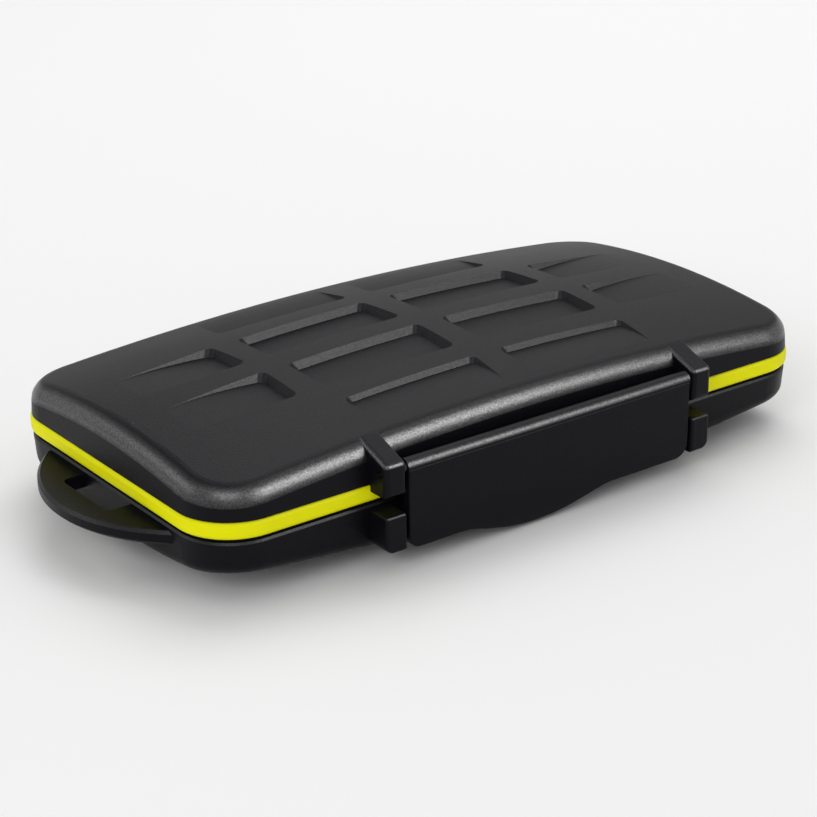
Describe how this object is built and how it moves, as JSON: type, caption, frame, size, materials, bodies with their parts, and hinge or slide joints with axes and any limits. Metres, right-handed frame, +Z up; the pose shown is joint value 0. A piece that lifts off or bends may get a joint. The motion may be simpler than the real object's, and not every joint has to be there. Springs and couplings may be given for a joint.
{
  "type": "memory card case",
  "caption": "Black moulded memory card case with a crowned hinged lid, yellow seal, wide front latch, card tray and lanyard loop",
  "frame": {"origin": "middle of the flat patch that the case rests on, under the middle of the base", "axes": "+X along the front from the lanyard end to the right, +Y from the latch to the hinges, +Z up"},
  "size_m": [0.1609, 0.0881, 0.0301],
  "materials": {
    "case_plastic": "fine spark texture, satin",
    "latch_plastic": "fine spark texture, satin",
    "seal_rubber": "smooth matt rubber",
    "tray_foam": "closed cell foam, matt",
    "pad_foam": "open cell foam, matt",
    "pin_steel": "drawn steel wire"
  },
  "bodies": {
    "base": {"base_shell": "case_plastic", "base_tray": "tray_foam", "hinge_pin_left": "pin_steel", "hinge_pin_right": "pin_steel"},
    "lid": {"lid_shell": "case_plastic", "lid_seal": "seal_rubber", "lid_pad": "pad_foam", "latch_pin_left": "pin_steel", "latch_pin_right": "pin_steel"},
    "latch": {"front_latch": "latch_plastic"}
  },
  "joints": [
    {"name": "lid_hinge", "type": "hinge", "parent": "base", "child": "lid", "pos_m": [0, 0.0417, 0.016], "axis": [-1, 0, 0], "range_deg": [0, 175]},
    {"name": "latch_hinge", "type": "hinge", "parent": "lid", "child": "latch", "pos_m": [0, -0.0418, 0.0207], "axis": [-1, 0, 0], "range_deg": [0, 110]}
  ]
}
